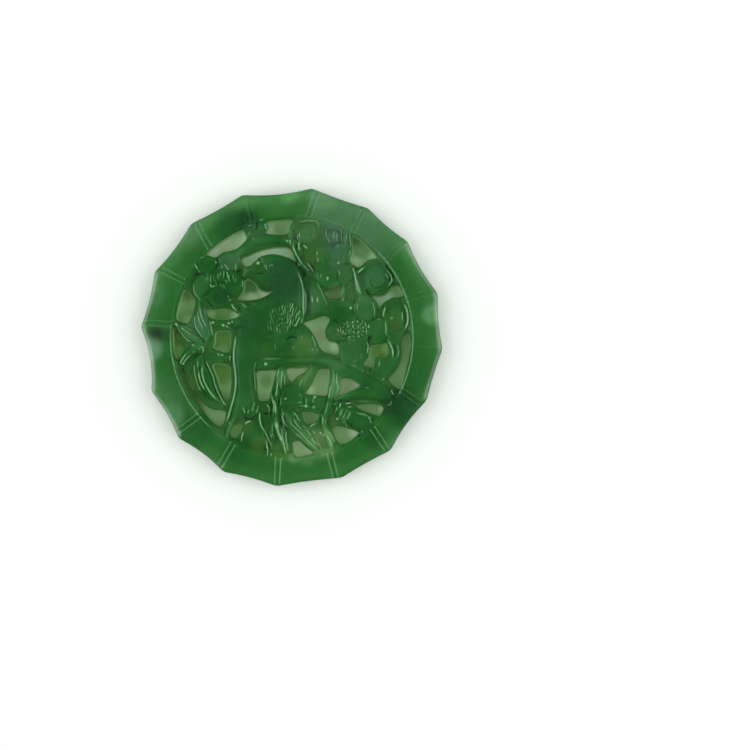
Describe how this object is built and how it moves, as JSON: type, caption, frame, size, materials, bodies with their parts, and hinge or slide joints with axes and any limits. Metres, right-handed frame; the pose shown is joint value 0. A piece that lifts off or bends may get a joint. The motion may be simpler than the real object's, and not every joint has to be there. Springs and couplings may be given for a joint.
{
  "type": "carved jade pendant",
  "caption": "Round openwork jade pendant: a ring of bamboo stem around a bird on a bough with blossoms, tendrils and leaf sprays; flat back, lies face up.",
  "frame": {"origin": "under the middle of the pendant, on its flat back", "axes": "+Z out of the carved face, +Y to the top of the picture, +X to the right of the face"},
  "size_m": [0.0524, 0.0517, 0.0051],
  "materials": {
    "jade": "polished green nephrite jade, translucent where thin"
  },
  "bodies": {
    "root": {"jade_plaque": "jade"}
  },
  "joints": []
}
